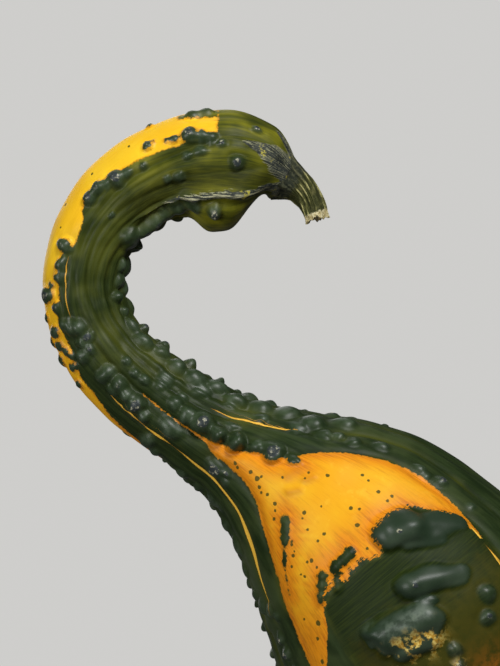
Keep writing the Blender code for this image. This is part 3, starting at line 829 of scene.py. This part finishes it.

# Yellow: lemon at the head and golden below, orange and streaked towards its edges and lower end, with dark
# green dots. The orange is partly the skin's own and partly a painted shade where the skin turns from the
# light.
yellow_edge = plus(yellow_in, sway(middling, 1.6))
yellow_edge = plus(yellow_edge, sway(fine, 1.8))
fringe = minus(plus(cross_fibres, times(fine, 0.8)), 0.9)
fringe = times(fringe, 5.5)
yellow_edge = plus(yellow_edge, times(rim_in, fringe))
lemon = tint(ease(broad, 0.35, 0.7), (0.76, 0.43, 0.012), (0.80, 0.50, 0.020))
golden = tint(ease(broad, 0.35, 0.7), (0.74, 0.345, 0.008), (0.77, 0.43, 0.014))
golden = tint(ease(along_in, 85.0, 150.0), lemon, golden)
golden = tint(times(ease(fine_streaks, 0.52, 0.75), 0.45), golden, (0.62, 0.26, 0.006))
golden = tint(times(ease(middling, 0.55, 0.75), 0.35), golden, (0.84, 0.53, 0.040))
orange_depth = plus(times(ease(along_in, 120.0, 175.0), 8.5), 1.0)
# Orange towards the edges and the lower end: partly the skin's own colour, partly painted shade.
orange_and_shade = plus(yellow_in, sway(streaks, 5.0))
orange_and_shade = ease(calc("DIVIDE", orange_and_shade, orange_depth), 1.0, 0.0)
orange_and_shade = calc("MAXIMUM", orange_and_shade, times(ease(along_in, 205.0, 236.0), 0.85))
orange_share = plus(times(ease(along_in, 90.0, 150.0), 0.55), 0.42)
orange_and_shade = times(orange_and_shade, orange_share)
deep_orange_and_shade = tint(ease(fine_streaks, 0.42, 0.68), (0.68, 0.225, 0.006), (0.47, 0.135, 0.005))
golden = tint(orange_and_shade, golden, deep_orange_and_shade)
golden = tint(times(pimple_in, 0.4), golden, (0.50, 0.16, 0.01))
to_dot = None
for place, angle, dot_radius in DOTS:
    ring = int(np.argmin(np.abs(ring_places - place)))
    column = int(np.argmin(np.abs(column_angles - math.radians(angle))))
    ends = {0: object_place, 1: tuple(skin[ring, column] * MM)}
    off = add_node(tree, "ShaderNodeVectorMath", ends, operation="DISTANCE").outputs["Value"]
    from_edge = minus(off, dot_radius * MM)
    to_dot = from_edge if to_dot is None else calc("MINIMUM", to_dot, from_edge)
to_dot = plus(to_dot, sway(fine, 0.9 * MM))
dot_mark = ease(to_dot, 0.12 * MM, -0.12 * MM)
golden = tint(times(dot_mark, 0.92), golden, (0.05, 0.055, 0.006))
rim = tint(times(ease(yellow_edge, 0.6, 0.1), 0.7), golden, (0.33, 0.15, 0.008))
painted = tint(ease(yellow_edge, -0.15, 0.15), green, rim)
line_edge = minus(line_width, calc("ABSOLUTE", line_offset))
line_edge = plus(line_edge, sway(middling, 0.35))
line_edge = minus(line_edge, times(ease(line_width, 0.06, 0.0), 1.0))
line_colour = tint(ease(line_edge, 0.35, 0.05), (0.84, 0.50, 0.06), (0.42, 0.20, 0.02))
painted = tint(ease(line_edge, -0.05, 0.15), painted, line_colour)
speckle = times(speckle_in, ease(middling, 0.50, 0.60))
painted = tint(speckle, painted, tint(ease(fine, 0.4, 0.6), (0.50, 0.26, 0.02), (0.80, 0.60, 0.16)))

# Cork: grey and cream scabs on the warts, and grey ridged tissue round the stem.
scab_edge = plus(cork_top_in, sway(middling, 0.7))
scab = ease(scab_edge, 0.32, 0.55)
scab_colour = tint(ease(fine, 0.53, 0.66), (0.022, 0.030, 0.030), (0.36, 0.35, 0.24))
painted = tint(scab, painted, scab_colour)
cork_edge = plus(cork_in, sway(fine_streaks, 1.8))
cork_edge = plus(cork_edge, sway(middling, 1.4))
stem_cork = times(ease(cork_edge, 0.38, 0.58), ease(cork_in, 0.02, 0.12))
cork_fleck = plus(times(fine_streaks, 1.6), times(fine, 0.5))
cork_colour = tint(ease(middling, 0.35, 0.65), (0.016, 0.020, 0.018), (0.050, 0.056, 0.048))
cork_colour = tint(ease(cork_fleck, 1.10, 1.22), cork_colour, (0.27, 0.27, 0.16))
# A cream line along the long ridge's crest: partly pale cork, partly a painted highlight.
ridge_crest_cream_and_highlight = plus(crest_in, sway(fine_streaks, 1.2))
cork_colour = tint(times(ease(ridge_crest_cream_and_highlight, 0.86, 1.02), 0.85), cork_colour, (0.36, 0.35, 0.22))
yellow_fleck = times(ease(middling, 0.60, 0.66), ease(fine, 0.42, 0.52))
cork_colour = tint(yellow_fleck, cork_colour, (0.42, 0.37, 0.06))
painted = tint(stem_cork, painted, cork_colour)
tree.links.new(painted, shader.inputs["Base Color"])

# Finish: a waxy skin, wetter on the warts and blisters, dull in the dark patch, by the throat and on cork.
dullness = plus(times(middling, 0.16), 0.40)
dullness = minus(dullness, times(wart_in, 0.06))
dull_patch = calc("MAXIMUM", minus(minus(patch_in, blister_in), wart_in), 0.0)
for mark, rise in ((dull_patch, 0.16), (painted_shade_by_ridge_in, 0.35), (scab, 0.3), (stem_cork, 0.35)):
    dullness = plus(dullness, times(mark, rise))
tree.links.new(dullness, shader.inputs["Roughness"])
shader.inputs["Specular IOR Level"].default_value = 0.12
wet_look = calc("MAXIMUM", times(wart_in, 0.38), times(blister_in, 0.30))
tree.links.new(plus(wet_look, 0.02), shader.inputs["Coat Weight"])
shader.inputs["Coat Roughness"].default_value = 0.38

relief = times(fine, 0.02)
for mark, rise in (
    (middling, 0.16),
    (streaks, 0.06),
    (fine_streaks, 0.012),
    (times(cross_fibres, patch_in), 0.014),
    (times(scab, fine), 0.30),
    (times(stem_cork, cork_fleck), 0.22),
):
    relief = plus(relief, times(mark, rise))
relief = minus(relief, times(dot_mark, 0.15))
relief_node = add_node(tree, "ShaderNodeBump", {"Height": relief, "Strength": 0.7, "Distance": 0.0006})
tree.links.new(relief_node.outputs[0], shader.inputs["Normal"])
fruit.data.materials.append(rind)

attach(fruit, "root")
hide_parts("fruit")

# ---------------------------------------------------------------------------------------------------------
# The stem: dry, woody and five-angled, with fine corky ridges. It flares where it grips the head, bends down
# and ends in a ragged cream cut, a little hollow. Its columns are a multiple of four too.

STEM_LENGTH = 17.5
STEM_BEND = 50.0
STEM_SINK = 1.6
STEM_ROWS = 110
STEM_COLUMNS = 180
CUT_RINGS = 7
CUT_HOLLOW = 0.9
STEM_GRAIN_ROUND = 5.0
STEM_START = SEAT_HEADING - 180.0
STEM_HEADINGS = (
    (-STEM_SINK, STEM_START),
    (0.0, STEM_START),
    (0.5 * STEM_LENGTH, STEM_START - 0.6 * STEM_BEND),
    (STEM_LENGTH + 1.0, STEM_START - STEM_BEND),
)
STEM_GIRTHS = (
    (-STEM_SINK, 8.6), (0, 7.8), (2.5, 6.7), (7.9, 5.0), (13, 4.4), (STEM_LENGTH, 4.3),
    (STEM_LENGTH + 1.0, 4.4),
)

stem_along = np.linspace(-STEM_SINK, STEM_LENGTH, STEM_ROWS)[:, None] * np.ones(STEM_COLUMNS)
stem_around = np.arange(STEM_COLUMNS)[None, :] * 2.0 * math.pi / STEM_COLUMNS * np.ones((STEM_ROWS, 1))
stem_tip = smooth_step(stem_along, STEM_LENGTH - 2.5, STEM_LENGTH)
twisted = stem_around + 0.03 * stem_along
angles = -0.40 * (1.0 - np.cos(5.0 * twisted)) - 0.12 * (1.0 - np.cos(10.0 * twisted + 0.6))
ridge_wave = np.abs(np.cos(9.5 * twisted + 0.5 * np.sin(2.0 * twisted) + 0.35 * np.sin(0.5 * stem_along)))
ridge_strength = 0.42 + 0.22 * np.sin(3.0 * twisted + 0.3 * stem_along)
ridge_strength = ridge_strength + 0.14 * np.sin(7.0 * twisted - 0.5 * stem_along)
fine_ridges = ridge_strength * (1.0 - ridge_wave) ** 0.8 - 0.15
fine_ridges = fine_ridges + 0.09 * np.sin(33.0 * twisted + 0.5 * stem_along)
ragged = 0.9 * np.sin(3.0 * stem_around + 0.5) + 0.5 * np.sin(7.0 * stem_around)
ragged = ragged + 0.35 * np.sin(17.0 * stem_around + 2.0)
stem_along = stem_along + stem_tip * ragged * 0.7
stem_girth = through(STEM_GIRTHS, stem_along) + angles + fine_ridges
stem_girth = stem_girth + 0.35 * stem_tip * np.sin(5.0 * stem_around)
sink_x, sink_z, _ = core_at(STEM_HEADINGS, 0.0)
stem_start = (seat_x - sink_x, seat_z - sink_z)
stem_skin, stem_heading = lay_on_core(stem_start, STEM_HEADINGS, stem_along, stem_around, stem_girth)

# The cut: rings that close in from the ragged edge to a centre set back from it.
cut_way = np.array((math.cos(stem_heading[-1, 0]), 0.0, math.sin(stem_heading[-1, 0])))
cut_centre = stem_skin[-1].mean(axis=0) - CUT_HOLLOW * cut_way
cut_shares = np.linspace(1.0, 0.0, CUT_RINGS + 2)[1:-1, None, None]
cut_texture = 0.35 * np.sin(9.0 * stem_around[:1, :, None] + 14.0 * cut_shares) * cut_shares
cut_fill = cut_centre + (stem_skin[-1][None] - cut_centre) * cut_shares + cut_texture * cut_way
stem_foot = stem_skin[0].mean(axis=0)
stem, stem_points = wrap("stem_wood", np.concatenate((stem_skin, cut_fill)), stem_foot, cut_centre)


def with_cut(values, on_cut):
    """The stem's values, and one value for the cut's rings."""
    return np.concatenate((values, np.full((CUT_RINGS, STEM_COLUMNS), on_cut)))


stem_ridge = with_cut(fine_ridges + 0.15 * angles, 0.0)
stem_cut = with_cut(smooth_step(stem_along, STEM_LENGTH - 4.5, STEM_LENGTH), 1.0)
stem_run = with_cut(stem_along, STEM_LENGTH)
stem_turn = with_cut(twisted, twisted[-1:])
store(stem, stem_points, "stem_growth", (stem_ridge, stem_cut, stem_run), (0, 0, 0), (0, 1, STEM_LENGTH))
stem_grain = (stem_run, STEM_GRAIN_ROUND * np.cos(stem_turn), STEM_GRAIN_ROUND * np.sin(stem_turn))
store(stem, stem_points, "grain", stem_grain, (0, 0, 0), (STEM_LENGTH, 0, 0))

wood = bpy.data.materials.new("dry_stem_wood")
wood.use_nodes = True
tree = wood.node_tree
shader = tree.nodes["Principled BSDF"]
_, ridge_in, cut_in, run_in = read(tree, "stem_growth")
grain_place, _, _, _ = read(tree, "grain")
object_place = add_node(tree, "ShaderNodeTexCoord").outputs["Object"]

# Bark: dark olive, paler in patches and cream along the ridges, grey and corky at the foot, cream at the cut.
# The cream on the ridges' tops is partly the fibres' own colour and partly a painted highlight.
fibres = mottle(grain_place, 1.0, 4.0, 0.65, (0.12, 2.6, 2.6))
specks = mottle(object_place, 1100.0, 4.0, 0.6)
patches = mottle(object_place, 280.0, 3.0, 0.6)
bark = tint(ease(fibres, 0.35, 0.65), (0.014, 0.018, 0.004), (0.052, 0.056, 0.012))
bark = tint(ease(patches, 0.50, 0.70), bark, (0.110, 0.105, 0.035))
broken = times(minus(plus(fibres, patches), 1.0), 0.55)
# Paler, then cream, the higher the ridge: partly fibre colour, partly painted highlight.
ridge_cream_and_highlight = plus(ridge_in, broken)
bark = tint(ease(ridge_cream_and_highlight, 0.02, 0.16), bark, (0.090, 0.090, 0.024))
bark = tint(ease(ridge_cream_and_highlight, 0.17, 0.30), bark, (0.40, 0.37, 0.15))
fine_fibres = mottle(grain_place, 1.0, 3.0, 0.7, (0.10, 5.5, 5.5))
fine_lines = ease(fine_fibres, 0.58, 0.66)
bark = tint(times(fine_lines, 0.6), bark, (0.24, 0.23, 0.08))
foot_cork = plus(ease(run_in, 7.5, 1.5), sway(fibres, 2.2))
foot_grey = tint(ease(specks, 0.45, 0.62), (0.016, 0.020, 0.014), (0.064, 0.068, 0.038))
bark = tint(times(ease(foot_cork, 0.45, 0.75), 0.85), bark, foot_grey)
cut_edge = ease(plus(cut_in, sway(specks, 0.8)), 0.4, 0.7)
cut_cream = tint(ease(specks, 0.4, 0.65), (0.33, 0.27, 0.12), (0.62, 0.56, 0.34))
bark = tint(cut_edge, bark, cut_cream)
tree.links.new(bark, shader.inputs["Base Color"])
shader.inputs["Roughness"].default_value = 0.72
shader.inputs["Specular IOR Level"].default_value = 0.2
stem_relief = plus(times(fibres, 0.6), times(specks, 0.4))
stem_bump = add_node(tree, "ShaderNodeBump", {"Height": stem_relief, "Strength": 0.9, "Distance": 0.0005})
tree.links.new(stem_bump.outputs[0], shader.inputs["Normal"])
stem.data.materials.append(wood)

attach(stem, "root")
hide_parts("stem")
